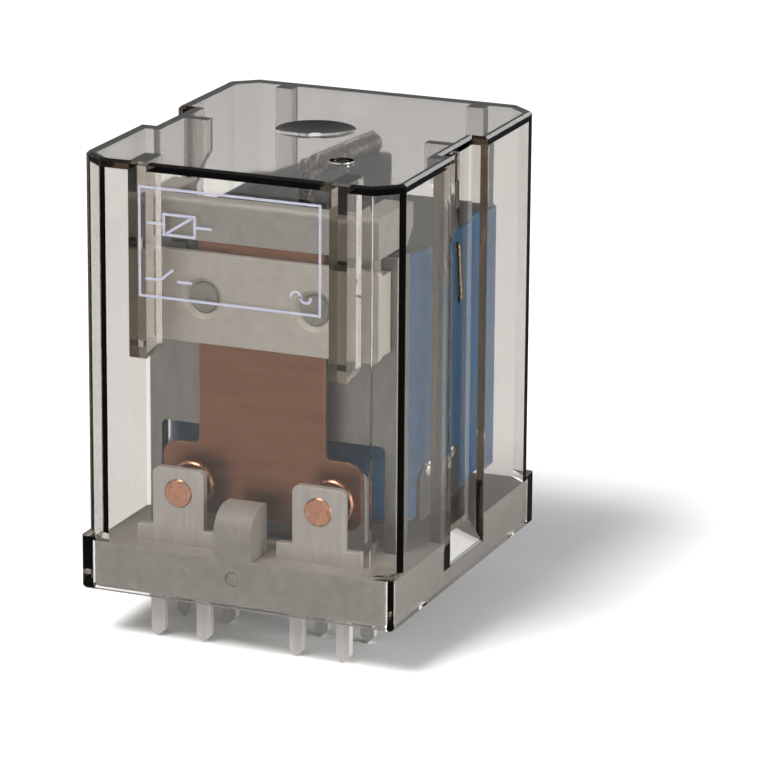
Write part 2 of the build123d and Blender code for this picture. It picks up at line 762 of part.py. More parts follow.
# Clamp bar: cream bar in front of the bridge, with two countersunk holes, its ends turned
# back along the carrier.
with BuildPart() as clamp_bar:
    with BuildSketch(Plane.XZ.offset(-carrier_front)):
        with Locations((0, (carrier_foot + bar_top) / 2)):
            Rectangle(2 * bar_half_width, bar_top - carrier_foot)
        fillet(vertices(), radius=bar_round)
        with Locations((-peg_x, peg_z), (peg_x, peg_z)):
            Circle(peg_radius + rivet_fit, mode=Mode.SUBTRACT)
    extrude(amount=carrier_front - bridge_front)
    hole_rims = edges().filter_by(GeomType.CIRCLE).group_by(Axis.Y)[0]
    hole_rims = hole_rims.filter_by(lambda e: abs(e.radius - peg_radius) < 0.2)
    chamfer(hole_rims, length=peg_countersink_depth)
    with BuildSketch(Plane.XZ.offset(-carrier_front - bar_round)):
        for side in (-1, 1):
            with Locations((side * (bar_half_width - bar_return / 2), (carrier_foot + bar_top) / 2)):
                Rectangle(bar_return, bar_top - carrier_foot - 2 * bar_round)
    extrude(amount=carrier_front + bar_round - carrier_back)
clamp_bar.part.label = "clamp_bar"
export_step(clamp_bar.part, "parts/clamp_bar.step")

# Clamp pegs: they hold the bar, the bridge and the armature's short leg together.
for side_name, side in sides:
    with BuildPart() as clamp_peg:
        with BuildSketch(Plane.XZ.offset(-carrier_front - peg_sink)):
            with Locations((side * peg_x, peg_z)):
                Circle(peg_radius)
        extrude(amount=carrier_front + peg_sink - carrier_back)
        chamfer(faces().sort_by(Axis.Y)[0].edges(), length=0.15)
    clamp_peg.part.label = f"clamp_peg_{side_name}"
    export_step(clamp_peg.part, f"parts/clamp_peg_{side_name}.step")

# Contact bridge: one copper plate that carries both moving contacts.
with BuildPart() as contact_bridge:
    with BuildSketch(Plane.XZ.offset(-bridge_front)):
        Polygon(
            (-bridge_half_width, bridge_top),
            (bridge_half_width, bridge_top),
            (bridge_half_width, tab_top),
            (tab_half_width, tab_top),
            (tab_half_width, bridge_foot),
            (-tab_half_width, bridge_foot),
            (-tab_half_width, tab_top),
            (-bridge_half_width, tab_top),
            align=None,
        )
        tab_corners = vertices().filter_by(lambda v: abs(abs(v.X) - tab_half_width) < 0.01)
        fillet(tab_corners, radius=tab_round)
        crooks = vertices().filter_by(
            lambda v: abs(abs(v.X) - bridge_half_width) < 0.01 and abs(v.Y - tab_top) < 0.01
        )
        fillet(crooks, radius=tab_crook)
        with Locations((-terminal_x, contact_z), (terminal_x, contact_z)):
            Circle(moving_shank_radius + rivet_fit, mode=Mode.SUBTRACT)
        with Locations((-peg_x, peg_z), (peg_x, peg_z)):
            Circle(peg_radius + rivet_fit, mode=Mode.SUBTRACT)
    extrude(amount=-bridge_thickness)
contact_bridge.part.label = "contact_bridge"
export_step(contact_bridge.part, "parts/contact_bridge.step")

# Moving contacts: double-headed rivets through the bridge.
for side_name, side in sides:
    with BuildPart() as moving_contact:
        with BuildSketch(Plane.XZ.offset(-bridge_front)):
            with Locations((side * terminal_x, contact_z)):
                Circle(contact_radius)
        extrude(amount=moving_head)
        chamfer(faces().sort_by(Axis.Y)[0].edges(), length=contact_bevel)
        with BuildSketch(Plane.XZ.offset(-bridge_front)):
            with Locations((side * terminal_x, contact_z)):
                Circle(moving_shank_radius)
        extrude(amount=-bridge_thickness)
        with BuildSketch(Plane.XZ.offset(-armature_front)):
            with Locations((side * terminal_x, contact_z)):
                Circle(contact_radius)
        extrude(amount=-moving_head)
        chamfer(faces().sort_by(Axis.Y)[-1].edges(), length=contact_bevel)
    moving_contact.part.label = f"moving_contact_{side_name}"
    export_step(moving_contact.part, f"parts/moving_contact_{side_name}.step")

# Return spring: a close coil from the post's waist to a hook through the tail.
run = Vector(0, spring_rear_y - spring_front_y, spring_rear_z - spring_front_z)
coil_pitch = run.length / spring_turns
loop_radius = anchor_waist_radius + spring_wire_radius + 0.25
loop_y = anchor_y + loop_radius - anchor_waist_radius - spring_wire_radius - rivet_fit
loop_z = (anchor_waist_low + anchor_waist_high) / 2
tail_top = hinge_z + hook_run * sin(tilt) + armature_thickness * cos(tilt)
with BuildPart() as return_spring:
    with BuildLine() as coil_path:
        Helix(
            pitch=coil_pitch,
            height=run.length,
            radius=spring_radius,
            center=(spring_x, spring_front_y, spring_front_z),
            direction=run,
        )
    with BuildSketch(Plane(origin=coil_path.line @ 0, z_dir=coil_path.line % 0)):
        Circle(spring_wire_radius)
    sweep(path=coil_path.line, is_frenet=True)
    coil_start = coil_path.line @ 0.002
    coil_end = coil_path.line @ 0.998
    with Locations((spring_x, loop_y, loop_z)):
        Torus(loop_radius, spring_wire_radius)
    with BuildLine() as front_link:
        FilletPolyline(
            (spring_x, loop_y + loop_radius, loop_z),
            (spring_x, loop_y + loop_radius + 0.3, loop_z),
            coil_start,
            radius=0.12,
        )
    with BuildSketch(Plane(origin=front_link.line @ 0, z_dir=front_link.line % 0)):
        Circle(spring_wire_radius)
    sweep(path=front_link.line)
    with BuildLine() as rear_hook:
        FilletPolyline(
            coil_end,
            (spring_x, spring_rear_y + 0.4, spring_rear_z),
            (spring_x, hook_y, tail_top + 0.7),
            (spring_x, hook_y, tail_top - armature_thickness - 0.5),
            radius=0.2,
        )
    with BuildSketch(Plane(origin=rear_hook.line @ 0, z_dir=rear_hook.line % 0)):
        Circle(spring_wire_radius)
    sweep(path=rear_hook.line)
return_spring.part.label = "return_spring"
export_step(return_spring.part, "parts/return_spring.step")
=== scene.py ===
import bpy
from math import pi, radians
from mathutils import Matrix, Vector


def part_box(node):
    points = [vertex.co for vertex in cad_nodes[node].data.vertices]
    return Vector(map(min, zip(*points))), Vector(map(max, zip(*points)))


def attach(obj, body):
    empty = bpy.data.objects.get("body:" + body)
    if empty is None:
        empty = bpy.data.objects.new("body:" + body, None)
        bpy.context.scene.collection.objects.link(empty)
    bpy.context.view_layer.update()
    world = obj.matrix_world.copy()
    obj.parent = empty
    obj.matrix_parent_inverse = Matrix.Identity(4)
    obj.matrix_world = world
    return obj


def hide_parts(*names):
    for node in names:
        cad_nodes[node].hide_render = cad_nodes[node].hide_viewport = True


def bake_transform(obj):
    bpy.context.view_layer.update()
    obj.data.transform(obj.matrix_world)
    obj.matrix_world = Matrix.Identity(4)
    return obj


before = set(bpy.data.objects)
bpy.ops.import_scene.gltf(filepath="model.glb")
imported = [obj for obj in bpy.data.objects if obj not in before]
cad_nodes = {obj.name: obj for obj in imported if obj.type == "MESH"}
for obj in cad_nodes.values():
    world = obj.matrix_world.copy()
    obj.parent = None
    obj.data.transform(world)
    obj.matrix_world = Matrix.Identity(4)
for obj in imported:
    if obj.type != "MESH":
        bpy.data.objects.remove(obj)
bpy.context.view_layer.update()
mm = 0.001


# ---- Base ----
# A warm grey moulded block that holds every terminal. Its faces carry the fine spark texture of
# the mould, slightly lighter along the edges, and a broken-off gate mark stands in the front face.
def add_node(tree, kind, sockets=None, **settings):
    """One shader node. Each socket is given a plain value or the output it is linked from."""
    made = tree.nodes.new("ShaderNode" + kind)
    for name, value in settings.items():
        setattr(made, name, value)
    for name, value in (sockets or {}).items():
        if isinstance(value, bpy.types.NodeSocket):
            tree.links.new(value, made.inputs[name])
        else:
            made.inputs[name].default_value = value
    return made


def new_group(name, inputs, outputs):
    """An empty node group with float, colour or vector sockets, and its two end nodes."""
    group = bpy.data.node_groups.new(name, "ShaderNodeTree")
    for socket_name, kind, value in inputs:
        socket = group.interface.new_socket(socket_name, in_out="INPUT", socket_type=kind)
        socket.default_value = value
    for socket_name, kind in outputs:
        group.interface.new_socket(socket_name, in_out="OUTPUT", socket_type=kind)
    return group, group.nodes.new("NodeGroupInput"), group.nodes.new("NodeGroupOutput")


# Two layers of noise, coarse and fine, that can be drawn out along one direction.
grain_group, ends_in, ends_out = new_group(
    "surface_grain",
    [
        ("Scale", "NodeSocketFloat", 1000.0),
        ("Stretch", "NodeSocketVector", (1.0, 1.0, 1.0)),
    ],
    [("Patches", "NodeSocketFloat"), ("Grain", "NodeSocketFloat")],
)
place = add_node(grain_group, "TexCoord").outputs["Object"]
drawn = add_node(grain_group, "Mapping", {"Vector": place, "Scale": ends_in.outputs["Stretch"]})
patches = add_node(
    grain_group,
    "TexNoise",
    {
        "Vector": drawn.outputs[0],
        "Scale": ends_in.outputs["Scale"],
        "Detail": 5.0,
        "Roughness": 0.6,
    },
)
finer = add_node(
    grain_group, "Math", {0: ends_in.outputs["Scale"], 1: 7.0}, operation="MULTIPLY"
)
grain = add_node(
    grain_group,
    "TexNoise",
    {"Vector": drawn.outputs[0], "Scale": finer.outputs[0], "Detail": 3.0, "Roughness": 0.7},
)
grain_group.links.new(patches.outputs[0], ends_out.inputs["Patches"])
grain_group.links.new(grain.outputs[0], ends_out.inputs["Grain"])

# Rounded-over edges: the normal of a small radius, and a mask of where that radius is.
edge_group, ends_in, ends_out = new_group(
    "soft_edge",
    [("Radius", "NodeSocketFloat", 0.0001)],
    [("Normal", "NodeSocketVector"), ("Edge", "NodeSocketFloat")],
)
rounded = add_node(edge_group, "Bevel", {"Radius": ends_in.outputs["Radius"]}, samples=4)
true_normal = add_node(edge_group, "NewGeometry").outputs["Normal"]
facing = add_node(
    edge_group, "VectorMath", {0: rounded.outputs[0], 1: true_normal}, operation="DOT_PRODUCT"
)
edge = add_node(
    edge_group,
    "MapRange",
    {"Value": facing.outputs["Value"], "From Min": 0.995, "From Max": 0.8},
)
edge_group.links.new(rounded.outputs[0], ends_out.inputs["Normal"])
edge_group.links.new(edge.outputs[0], ends_out.inputs["Edge"])


def new_finish(name):
    """A material with its Principled shader, ready for nodes."""
    material = bpy.data.materials.new(name)
    material.use_nodes = True
    tree = material.node_tree
    return material, tree, tree.nodes["Principled BSDF"]


def finish_surface(tree, shader, tones, scale, stretch, roughness, bump, edge_radius, edge_tone):
    """Colour from dark to light over the grain, paler worn edges, uneven gloss and a fine bump."""
    marks = add_node(tree, "Group", node_tree=grain_group)
    marks.inputs["Scale"].default_value = scale
    marks.inputs["Stretch"].default_value = stretch
    edges = add_node(tree, "Group", node_tree=edge_group)
    edges.inputs["Radius"].default_value = edge_radius
    spread = add_node(
        tree,
        "MapRange",
        {"Value": marks.outputs["Patches"], "From Min": 0.3, "From Max": 0.7},
    )
    body = add_node(
        tree,
        "Mix",
        {0: spread.outputs[0]},
        data_type="RGBA",
    )
    body.inputs[6].default_value = (*tones[0], 1)
    body.inputs[7].default_value = (*tones[1], 1)
    worn = add_node(tree, "Mix", {0: edges.outputs["Edge"]}, data_type="RGBA")
    tree.links.new(body.outputs[2], worn.inputs[6])
    worn.inputs[7].default_value = (*edge_tone, 1)
    gloss = add_node(
        tree,
        "MapRange",
        {
            "Value": marks.outputs["Patches"],
            "From Min": 0.25,
            "From Max": 0.75,
            "To Min": roughness[0],
            "To Max": roughness[1],
        },
    )
    relief = add_node(
        tree,
        "Bump",
        {
            "Height": marks.outputs["Grain"],
            "Strength": 1.0,
            "Distance": bump,
            "Normal": edges.outputs["Normal"],
        },
    )
    tree.links.new(worn.outputs[2], shader.inputs["Base Color"])
    tree.links.new(gloss.outputs[0], shader.inputs["Roughness"])
    tree.links.new(relief.outputs[0], shader.inputs["Normal"])


def moulded_plastic(name, tones, roughness, edge_tone, grain_scale=900.0, edge_radius=0.12 * mm):
    """Opaque moulded plastic."""
    material, tree, shader = new_finish(name)
    finish_surface(
        tree, shader, tones, grain_scale, (1, 1, 1), roughness, 0.012 * mm, edge_radius, edge_tone
    )
    shader.inputs["Specular IOR Level"].default_value = 0.4
    return material


def dress(material, *names):
    """Gives these CAD nodes the material."""
    for name in names:
        cad_nodes[name].material_slots[0].material = material


base_plastic = moulded_plastic(
    "base_plastic", ((0.35, 0.335, 0.315), (0.43, 0.41, 0.385)), (0.42, 0.6), (0.54, 0.52, 0.49)
)
dress(base_plastic, "base")


def finish_piece(piece, name, body, material):
    """Settles a modelled piece: its place goes into its mesh, and it rides with its body."""
    bpy.ops.object.transform_apply(location=True, rotation=True, scale=True)
    piece.name = name
    piece.data.name = name
    piece.data.materials.clear()
    piece.data.materials.append(material)
    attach(piece, body)
    bpy.ops.object.select_all(action="DESELECT")


def rough_lump(radius, height, place, tilt, roughness, seed):
    """A flattened lump with a torn surface, like the stub that a broken-off sprue leaves."""
    bpy.ops.object.select_all(action="DESELECT")
    bpy.ops.mesh.primitive_ico_sphere_add(subdivisions=4, radius=radius, location=place)
    lump = bpy.context.object
    lump.rotation_euler = tilt
    lump.scale = (1, 1, height / radius)
    bpy.ops.object.transform_apply(location=False, rotation=False, scale=True)
    torn = bpy.data.textures.new(f"torn_{seed}", "CLOUDS")
    torn.noise_scale = radius * 0.3
    torn.noise_depth = 3
    displaced = lump.modifiers.new("torn", "DISPLACE")
    displaced.texture = torn
    displaced.strength = roughness
    displaced.mid_level = 0.6
    bpy.ops.object.modifier_apply(modifier="torn")
    bpy.ops.object.shade_smooth_by_angle(angle=radians(25))
    return lump


base_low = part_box("base")[0]
gate_x = -0.6 * mm
gate_z = 2.75 * mm
base_stub = rough_lump(
    0.72 * mm,
    0.12 * mm,
    (gate_x, base_low.y + 0.13 * mm, gate_z),
    (pi / 2, 0, 0),
    0.22 * mm,
    1,
)
finish_piece(base_stub, "base_gate_stub", "housing", base_plastic)


# ---- Terminals ----
# Blades, feet and pins are blanked from tin-plated strip, so their faces show faint rolling
# lines along the strip and bright sheared edges.
def plated_metal(
    name, tones, roughness, edge_tone, stretch, scale=700.0, edge_radius=0.08 * mm, metallic=1.0
):
    """Sheet metal with a rolled or plated surface."""
    material, tree, shader = new_finish(name)
    finish_surface(
        tree, shader, tones, scale, stretch, roughness, 0.006 * mm, edge_radius, edge_tone
    )
    shader.inputs["Metallic"].default_value = metallic
    return material


tinned_strip = plated_metal(
    "tinned_strip",
    ((0.50, 0.48, 0.455), (0.62, 0.60, 0.575)),
    (0.32, 0.5),
    (0.90, 0.89, 0.86),
    (3.0, 3.0, 0.35),
    metallic=0.35,
)
dress(
    tinned_strip,
    *(f"{row}_terminal_{side}" for row in ("front", "rear", "coil") for side in ("left", "right")),
)

# ---- Contacts ----
# Copper-faced rivets, headed through the blades and the bridge. The heads were turned, so their
# faces keep fine rings round the axis, which lies along Y.
rivet_copper, tree, shader = new_finish("rivet_copper")
terminal_x = 7.25 * mm
contact_z = 9.8 * mm
place = add_node(tree, "SeparateXYZ", {0: add_node(tree, "TexCoord").outputs["Object"]})
across = add_node(tree, "Math", {0: place.outputs["X"]}, operation="ABSOLUTE")
across = add_node(tree, "Math", {0: across.outputs[0], 1: terminal_x}, operation="SUBTRACT")
upward = add_node(tree, "Math", {0: place.outputs["Z"], 1: contact_z}, operation="SUBTRACT")
from_axis = add_node(tree, "CombineXYZ", {"X": across.outputs[0], "Y": upward.outputs[0]})
from_axis = add_node(tree, "VectorMath", {0: from_axis.outputs[0]}, operation="LENGTH")
rings = add_node(
    tree, "Math", {0: from_axis.outputs["Value"], 1: 2 * pi / (0.14 * mm)}, operation="MULTIPLY"
)
rings = add_node(tree, "Math", {0: rings.outputs[0]}, operation="SINE")
finish_surface(
    tree,
    shader,
    ((0.38, 0.17, 0.10), (0.56, 0.30, 0.20)),
    1400.0,
    (1, 1, 1),
    (0.2, 0.38),
    0.001 * mm,
    0.08 * mm,
    (0.85, 0.58, 0.42),
)
fine_bump = shader.inputs["Normal"].links[0].from_node
turned = add_node(
    tree,
    "Bump",
    {
        "Height": rings.outputs[0],
        "Strength": 0.3,
        "Distance": 0.002 * mm,
        "Normal": fine_bump.outputs[0],
    },
)
tree.links.new(turned.outputs[0], shader.inputs["Normal"])
shader.inputs["Metallic"].default_value = 1.0
dress(
    rivet_copper,
    *(
        f"{place_name}_contact_{side}"
        for place_name in ("front", "rear", "moving")
        for side in ("left", "right")
    ),
)

# ---- Yoke and core ----
# Soft iron with a thin satin plating: the yoke is blanked and bent, so it shows the grain of the
# sheet running up it. The core, which is turned, and the armature share one much darker iron:
# painted shade, since the armature lies in shade under the cover's top.
plated_iron = plated_metal(
    "plated_iron",
    ((0.19, 0.188, 0.18), (0.26, 0.257, 0.248)),
    (0.36, 0.52),
    (0.55, 0.55, 0.53),
    (1.6, 1.6, 0.5),
    scale=500.0,
    edge_radius=0.15 * mm,
)
dress(plated_iron, "yoke")
# Much darker tones than the yoke: painted shade for the armature under the cover's top.
iron_in_painted_shade = plated_metal(
    "iron_in_painted_shade",
    ((0.05, 0.06, 0.065), (0.09, 0.10, 0.105)),
    (0.42, 0.58),
    (0.22, 0.23, 0.23),
    (1.0, 1.0, 1.0),
    scale=600.0,
    edge_radius=0.15 * mm,
)
dress(iron_in_painted_shade, "core", "armature")

# ---- Coil ----
# Enamelled wire on a dark bobbin under a sleeve of blue polyester tape. The wire ends leave
# through the back of the tape and reach the posts of the coil terminals, where they are soldered.
bobbin_plastic = moulded_plastic(
    "bobbin_plastic", ((0.05, 0.053, 0.056), (0.08, 0.085, 0.09)), (0.35, 0.5), (0.14, 0.14, 0.145)
)
dress(bobbin_plastic, "bobbin")

blue_tape, tree, shader = new_finish("blue_tape")
finish_surface(
    tree,
    shader,
    ((0.012, 0.088, 0.205), (0.02, 0.118, 0.27)),
    260.0,
    (0.4, 0.4, 2.5),
    (0.3, 0.45),
    0.004 * mm,
    0.1 * mm,
    (0.13, 0.28, 0.42),
)
place = add_node(tree, "SeparateXYZ", {0: add_node(tree, "TexCoord").outputs["Object"]})
layers = add_node(
    tree, "Math", {0: place.outputs["Z"], 1: 2 * pi / (0.32 * mm)}, operation="MULTIPLY"
)
layers = add_node(tree, "Math", {0: layers.outputs[0]}, operation="SINE")
turns_below = add_node(
    tree,
    "Bump",
    {
        "Height": layers.outputs[0],
        "Strength": 0.35,
        "Distance": 0.006 * mm,
        "Normal": shader.inputs["Normal"].links[0].from_socket,
    },
)
tree.links.new(turns_below.outputs[0], shader.inputs["Normal"])
shader.inputs["Specular IOR Level"].default_value = 0.25
dress(blue_tape, "coil_tape")

winding_copper, tree, shader = new_finish("winding_copper")
place = add_node(tree, "SeparateXYZ", {0: add_node(tree, "TexCoord").outputs["Object"]})
turns = add_node(
    tree, "Math", {0: place.outputs["Z"], 1: 2 * pi / (0.3 * mm)}, operation="MULTIPLY"
)
turns = add_node(tree, "Math", {0: turns.outputs[0]}, operation="SINE")
wound = add_node(
    tree, "Bump", {"Height": turns.outputs[0], "Strength": 1.0, "Distance": 0.05 * mm}
)
tree.links.new(wound.outputs[0], shader.inputs["Normal"])
shade = add_node(
    tree, "MapRange", {"Value": turns.outputs[0], "From Min": -1.0, "From Max": 1.0}
)
wire_tone = add_node(tree, "Mix", {0: shade.outputs[0]}, data_type="RGBA")
wire_tone.inputs[6].default_value = (0.25, 0.08, 0.03, 1)
wire_tone.inputs[7].default_value = (0.72, 0.33, 0.14, 1)
tree.links.new(wire_tone.outputs[2], shader.inputs["Base Color"])
shader.inputs["Metallic"].default_value = 1.0
shader.inputs["Roughness"].default_value = 0.3
dress(winding_copper, "coil_winding")

enamelled_wire = plated_metal(
    "enamelled_wire",
    ((0.62, 0.36, 0.12), (0.82, 0.56, 0.26)),
    (0.18, 0.32),
    (0.95, 0.75, 0.45),
    (1, 1, 1),
    scale=2500.0,
    edge_radius=0.02 * mm,
)
dress(enamelled_wire, "coil_lead_left", "coil_lead_right", "coil_start_wire", "coil_end_wire")

solder = plated_metal(
    "solder",
    ((0.62, 0.62, 0.60), (0.85, 0.85, 0.83)),
    (0.12, 0.3),
    (0.95, 0.95, 0.93),
    (1, 1, 1),
    scale=1500.0,
    edge_radius=0.03 * mm,
)
solder_z = 10.6 * mm
bead_x = 12.95 * mm
bead_z = 11.6 * mm
for side in ("left", "right"):
    post_low, post_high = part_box(f"coil_terminal_{side}")
    outward = 1 if side == "right" else -1
    eye = (outward * terminal_x, (post_low.y + post_high.y) / 2, solder_z)
    drop = rough_lump(0.85 * mm, 0.7 * mm, eye, (0, 0, 0), 0.12 * mm, f"solder_{side}")
    finish_piece(drop, f"solder_joint_{side}", "housing", solder)
    for number, (joint_y, joint_radius) in enumerate(((-3.4, 0.85), (-0.6, 0.7), (2.3, 0.6))):
        bead = rough_lump(
            joint_radius * mm,
            0.4 * mm,
            (outward * bead_x, joint_y * mm, bead_z),
            (0, pi / 2, 0),
            0.2 * mm,
            f"bead_{side}_{number}",
        )
        finish_piece(bead, f"winding_joint_{side}_{number + 1}", "housing", solder)

# ---- Contact carrier, clamp bar and pegs ----
# A light grey moulded hood grips the armature's short leg. A cream bar in front of it clamps the
# copper bridge, held by two grey pegs whose ends were heat-staked in countersunk holes.
carrier_plastic = moulded_plastic(
    "carrier_plastic", ((0.36, 0.35, 0.325), (0.44, 0.43, 0.40)), (0.4, 0.55), (0.55, 0.54, 0.5)
)
dress(carrier_plastic, "contact_carrier")
peg_plastic = moulded_plastic(
    "peg_plastic", ((0.28, 0.27, 0.26), (0.38, 0.37, 0.35)), (0.35, 0.5), (0.5, 0.48, 0.45)
)
dress(peg_plastic, "clamp_peg_left", "clamp_peg_right")
cream_plastic = moulded_plastic(
    "cream_plastic", ((0.58, 0.56, 0.51), (0.66, 0.64, 0.585)), (0.38, 0.52), (0.76, 0.74, 0.69)
)
dress(cream_plastic, "clamp_bar")

# ---- Contact bridge ----
# One plate of rolled copper, with the rolling lines across it and a faint brown heat tint in
# patches.
# Its tones are kept far darker than bare copper: painted shade for the dim surroundings it
# reflects.
rolled_copper = plated_metal(
    "rolled_copper",
    ((0.17, 0.075, 0.042), (0.24, 0.11, 0.065)),
    (0.3, 0.5),
    (0.50, 0.28, 0.18),
    (0.5, 1.5, 2.4),
    scale=420.0,
)
dress(rolled_copper, "contact_bridge")

# ---- Return spring and its post ----
# Close-wound spring wire from the post on the bobbin to a hook in the armature's tail. In the
# relay its front loop stays on the post while the hook goes down with the tail; here the wire is
# one fixed piece.
spring_wire = plated_metal(
    "spring_wire",
    ((0.11, 0.10, 0.08), (0.19, 0.175, 0.14)),
    (0.2, 0.34),
    (0.42, 0.39, 0.31),
    (1, 1, 1),
    scale=2500.0,
    edge_radius=0.02 * mm,
)
dress(spring_wire, "return_spring", "spring_anchor")

spring = bpy.data.objects.new("return_spring_wire", cad_nodes["return_spring"].data.copy())
bpy.context.scene.collection.objects.link(spring)
bpy.ops.object.select_all(action="DESELECT")
spring.select_set(True)
bpy.context.view_layer.objects.active = spring
bpy.ops.object.mode_set(mode="EDIT")
bpy.ops.mesh.select_all(action="SELECT")
bpy.ops.mesh.remove_doubles(threshold=0.0001 * mm)
bpy.ops.mesh.select_all(action="DESELECT")
bpy.ops.object.mode_set(mode="OBJECT")
spring_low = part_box("return_spring")[0]
# The hook is trimmed shorter than the CAD spring's, which would reach the bobbin's flange.
hook_end_height = 0.05 * mm
hook_trim = 0.3 * mm
for vertex in spring.data.vertices:
    vertex.select = vertex.co.z < spring_low.z + hook_end_height
bpy.ops.object.mode_set(mode="EDIT")
bpy.ops.transform.translate(value=(0, 0, hook_trim))
bpy.ops.object.mode_set(mode="OBJECT")
bpy.ops.object.shade_smooth_by_angle(angle=radians(40))
spring.data.materials.clear()
spring.data.materials.append(spring_wire)
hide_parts("return_spring")
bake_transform(spring)
bpy.ops.object.select_all(action="DESELECT")

# ---- Cover ----
# One clear smoked moulding in polycarbonate. The smoke is in the plastic itself, so it darkens
# with the depth of wall looked through, and the top keeps a faint texture from the mould.
smoked_clear, tree, shader = new_finish("smoked_clear")
shader.inputs["Base Color"].default_value = (1, 1, 1, 1)
shader.inputs["Transmission Weight"].default_value = 1.0
shader.inputs["IOR"].default_value = 1.58
cover_low, cover_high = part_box("cover")
marks = add_node(tree, "Group", node_tree=grain_group)
marks.inputs["Scale"].default_value = 180.0
place = add_node(tree, "SeparateXYZ", {0: add_node(tree, "TexCoord").outputs["Object"]})
under_top = add_node(
    tree,
    "MapRange",
    {
        "Value": place.outputs["Z"],
        "From Min": cover_high.z - 1.05 * mm,
        "From Max": cover_high.z - 0.95 * mm,
        "To Min": 0.0,
        "To Max": 0.03,
    },
)
tree.links.new(under_top.outputs[0], shader.inputs["Roughness"])
flow = add_node(
    tree, "Bump", {"Height": marks.outputs["Patches"], "Strength": 0.3, "Distance": 0.01 * mm}
)
tree.links.new(flow.outputs[0], shader.inputs["Normal"])
path = add_node(tree, "LightPath")
lamp_side = add_node(
    tree,
    "Math",
    {0: path.outputs["Is Shadow Ray"], 1: path.outputs["Is Diffuse Ray"]},
    operation="MAXIMUM",
)
let_through = add_node(tree, "BsdfTransparent", {"Color": (0.75, 0.75, 0.75, 1)})
surface = add_node(tree, "MixShader", {0: lamp_side.outputs[0]})
tree.links.new(shader.outputs[0], surface.inputs[1])
tree.links.new(let_through.outputs[0], surface.inputs[2])
smoke = add_node(
    tree, "VolumeAbsorption", {"Color": (0.40, 0.33, 0.24, 1), "Density": 330.0}
)
output = tree.nodes["Material Output"]
tree.links.new(surface.outputs[0], output.inputs["Surface"])
tree.links.new(smoke.outputs[0], output.inputs["Volume"])
dress(smoked_clear, "cover")

frosted, tree, shader = new_finish("frosted_break")
marks = add_node(tree, "Group", node_tree=grain_group)
marks.inputs["Scale"].default_value = 4000.0
frost = add_node(tree, "Mix", {0: marks.outputs["Patches"]}, data_type="RGBA")
frost.inputs[6].default_value = (0.10, 0.10, 0.095, 1)
frost.inputs[7].default_value = (0.75, 0.75, 0.72, 1)
tree.links.new(frost.outputs[2], shader.inputs["Base Color"])
shader.inputs["Roughness"].default_value = 0.45
stub = rough_lump(
    0.6 * mm,
    0.10 * mm,
    (0, 0.5 * mm, cover_high.z - 0.5 * mm),
    (0, 0, 0),
    0.12 * mm,
    3,
)
finish_piece(stub, "cover_gate_stub", "housing", frosted)

# ---- Print ----
# Pale lavender pad printing on the cover's front: a frame with the symbols of a coil, of an open
# contact and of alternating current. The ink lies in a film on the plastic.
ink, tree, shader = new_finish("ink")
marks = add_node(tree, "Group", node_tree=grain_group)
marks.inputs["Scale"].default_value = 2200.0
cover_of_ink = add_node(tree, "Mix", {0: marks.outputs["Patches"]}, data_type="RGBA")
cover_of_ink.inputs[6].default_value = (0.24, 0.24, 0.31, 1)
cover_of_ink.inputs[7].default_value = (0.42, 0.42, 0.51, 1)
tree.links.new(cover_of_ink.outputs[2], shader.inputs["Base Color"])
shader.inputs["Roughness"].default_value = 0.5
ink_line = 0.24 * mm
ink_film = 0.016 * mm
ink_y = cover_low.y - 0.004 * mm


def ink_bar(x, z, length, width, turn=0.0):
    """A flat bar of ink, square to the front face and turned in its plane."""
    bpy.ops.object.select_all(action="DESELECT")
    bpy.ops.mesh.primitive_plane_add(size=1, location=(x, ink_y, z))
    bar = bpy.context.object
    bar.rotation_euler = (pi / 2, -turn, 0)
    bar.scale = (length, width, 1)
    bpy.ops.object.transform_apply(location=True, rotation=True, scale=True)
    return bar


def hollow_out(piece, width):
    """Leaves only a line of this width along the outline of a flat piece."""
    bpy.ops.object.mode_set(mode="EDIT")
    bpy.ops.mesh.select_all(action="SELECT")
    bpy.ops.mesh.inset(thickness=width)
    bpy.ops.mesh.delete(type="FACE")
    bpy.ops.object.mode_set(mode="OBJECT")
    return piece


def half_ring(x, z, radius, upper):
    """Half of a ring of ink: one hump of the wave."""
    bpy.ops.object.select_all(action="DESELECT")
    bpy.ops.mesh.primitive_circle_add(
        vertices=48,
        radius=radius,
        fill_type="NGON",
        location=(x, ink_y, z),
        rotation=(pi / 2, 0, 0),
    )
    ring = bpy.context.object
    bpy.ops.object.transform_apply(location=True, rotation=True, scale=True)
    hollow_out(ring, ink_line)
    bpy.ops.object.mode_set(mode="EDIT")
    bpy.ops.mesh.select_all(action="SELECT")
    bpy.ops.mesh.bisect(
        plane_co=(x, ink_y, z), plane_no=(0, 0, 1 if upper else -1), clear_inner=True
    )
    bpy.ops.object.mode_set(mode="OBJECT")
    return ring


def print_piece(name, shapes):
    """Joins flat shapes into one printed piece with the thickness of the ink."""
    bpy.ops.object.select_all(action="DESELECT")
    for shape in shapes:
        shape.select_set(True)
    bpy.context.view_layer.objects.active = shapes[0]
    if len(shapes) > 1:
        bpy.ops.object.join()
    piece = bpy.context.object
    film = piece.modifiers.new("film", "SOLIDIFY")
    film.thickness = ink_film
    film.offset = 0.0
    bpy.ops.object.modifier_apply(modifier="film")
    finish_piece(piece, name, "housing", ink)


frame_left = -9.8 * mm
frame_right = 8.75 * mm
frame_low = 29.7 * mm
frame_high = 40.4 * mm
border = ink_bar(
    (frame_left + frame_right) / 2,
    (frame_low + frame_high) / 2,
    frame_right - frame_left,
    frame_high - frame_low,
)
print_piece("print_frame", [hollow_out(border, ink_line)])

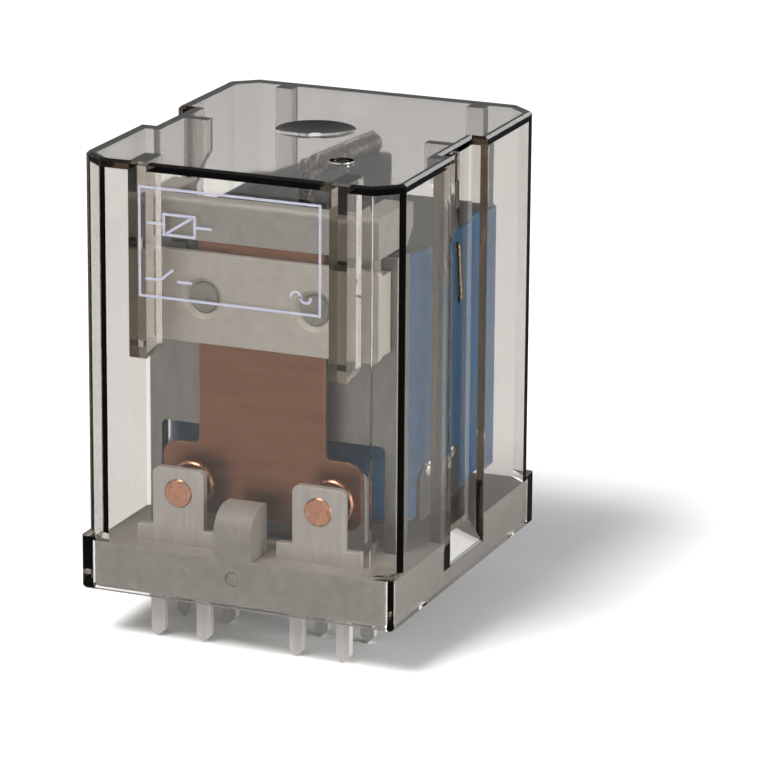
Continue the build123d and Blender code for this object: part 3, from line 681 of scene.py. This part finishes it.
coil_symbol = hollow_out(ink_bar(-5.6 * mm, 36.9 * mm, 3.4 * mm, 2.2 * mm), ink_line)
print_piece(
    "print_coil_symbol",
    [
        coil_symbol,
        ink_bar(-5.6 * mm, 36.9 * mm, 3.2 * mm, ink_line, radians(33)),
        ink_bar(-8.1 * mm, 36.9 * mm, 1.6 * mm, ink_line),
        ink_bar(-3.1 * mm, 36.9 * mm, 1.6 * mm, ink_line),
    ],
)
print_piece(
    "print_contact_symbol",
    [
        ink_bar(-8.35 * mm, 31.5 * mm, 1.5 * mm, ink_line),
        ink_bar(-6.9 * mm, 32.05 * mm, 1.75 * mm, ink_line, radians(40)),
        ink_bar(-5.1 * mm, 31.5 * mm, 1.5 * mm, ink_line),
    ],
)
wave_radius = 0.62 * mm
wave_step = 2 * wave_radius - ink_line
print_piece(
    "print_wave_symbol",
    [
        half_ring(6.2 * mm, 31.4 * mm, wave_radius, True),
        half_ring(6.2 * mm + wave_step, 31.4 * mm, wave_radius, False),
    ],
)

# ---- Floor, light and camera ----
# A plain pale floor, a soft light in front and above, a soft low one from the right, a weak one
# from behind, and a grey room that is darker below the horizon. The camera looks down a little
# at the front and the right side. Reflections leave the floor out, since it veils the colours.
bpy.ops.object.select_all(action="DESELECT")
floor_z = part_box("front_terminal_left")[0].z
bpy.ops.mesh.primitive_plane_add(size=6, location=(0, 0, floor_z))
floor = bpy.context.object
floor.name = "floor"
pale_floor, tree, shader = new_finish("pale_floor")
shader.inputs["Base Color"].default_value = (0.86, 0.86, 0.86, 1)
shader.inputs["Roughness"].default_value = 0.9
floor.data.materials.append(pale_floor)
floor.visible_glossy = False


def soft_light(name, place, size, power):
    """A square softbox that points at the middle of the object."""
    middle = Vector((0, 0, 20 * mm))
    towards = middle - Vector(place)
    bpy.ops.object.light_add(
        type="AREA", location=place, rotation=towards.to_track_quat("-Z", "Y").to_euler()
    )
    lamp = bpy.context.object
    lamp.name = name
    lamp.data.size = size
    lamp.data.energy = power


soft_light("top_light", (-0.23, -0.58, 0.96), 0.40, 18.5)
soft_light("side_light", (1.0, -0.10, 0.10), 0.5, 16.0)
soft_light("rear_light", (0.40, 0.92, 0.27), 0.4, 1.4)

world = bpy.data.worlds.new("dim_room")
world.use_nodes = True
room = world.node_tree
room_height = add_node(room, "SeparateXYZ", {0: add_node(room, "TexCoord").outputs["Generated"]})
room_tone = add_node(
    room,
    "MapRange",
    {
        "Value": room_height.outputs["Z"],
        "From Min": -0.1,
        "From Max": 0.1,
        "To Min": 0.08,
        "To Max": 0.30,
    },
)
room.links.new(room_tone.outputs[0], room.nodes["Background"].inputs["Color"])
bpy.context.scene.world = world
bpy.context.scene.view_settings.view_transform = "Standard"

azimuth = radians(22.55)
elevation = radians(16.5)
roll = radians(0.412)
distance = 437.9 * mm
target = Vector((7.47 * mm, 0, 18.25 * mm))
turn = (
    Matrix.Rotation(azimuth, 3, "Z")
    @ Matrix.Rotation(pi / 2 - elevation, 3, "X")
    @ Matrix.Rotation(roll, 3, "Z")
)
bpy.ops.object.camera_add(
    location=target + turn @ Vector((0, 0, distance)), rotation=turn.to_euler()
)
camera = bpy.context.object
camera.data.sensor_width = 36.0
camera.data.lens = 213.0
camera.data.clip_start = 0.01
bpy.context.scene.camera = camera
